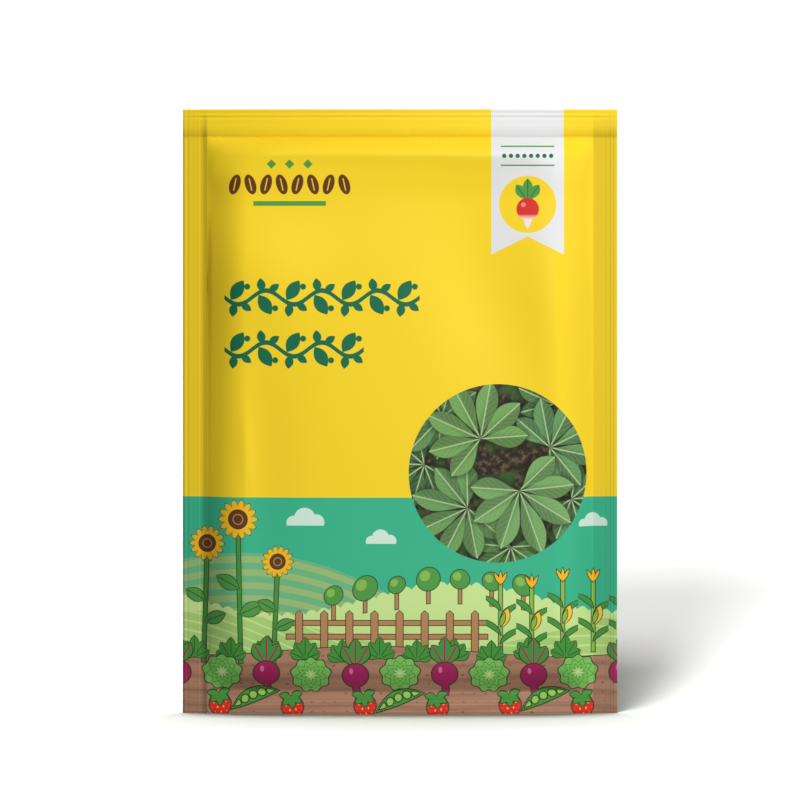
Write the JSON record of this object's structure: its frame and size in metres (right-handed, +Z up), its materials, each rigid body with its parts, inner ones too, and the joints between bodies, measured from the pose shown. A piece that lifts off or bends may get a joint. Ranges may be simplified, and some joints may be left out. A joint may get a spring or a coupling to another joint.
{
  "type": "seed packet",
  "caption": "Flat sealed film packet, welded on all four sides and standing on its lower edge, with loose seeds inside.",
  "frame": {"origin": "centre of the packet's box, on the surface that its lower edge stands on", "axes": "+Z up along the packet's height, -Y out of its printed front, +X to the right seen from the front"},
  "size_m": [0.1008, 0.0144, 0.14],
  "materials": {
    "front_print": "satin printed film, yellow over a green lower scene",
    "back_print": "satin printed film, yellow over green with a bare cream panel",
    "seed_coat": "smooth hard seed coat, grey-brown with darker mottling"
  },
  "bodies": {
    "root": {"front_film": "front_print", "back_film": "back_print", "seed_01": "seed_coat", "seed_02": "seed_coat", "seed_03": "seed_coat", "seed_04": "seed_coat", "seed_05": "seed_coat", "seed_06": "seed_coat", "seed_07": "seed_coat", "seed_08": "seed_coat", "seed_09": "seed_coat", "seed_10": "seed_coat", "seed_11": "seed_coat", "seed_12": "seed_coat"}
  },
  "joints": []
}
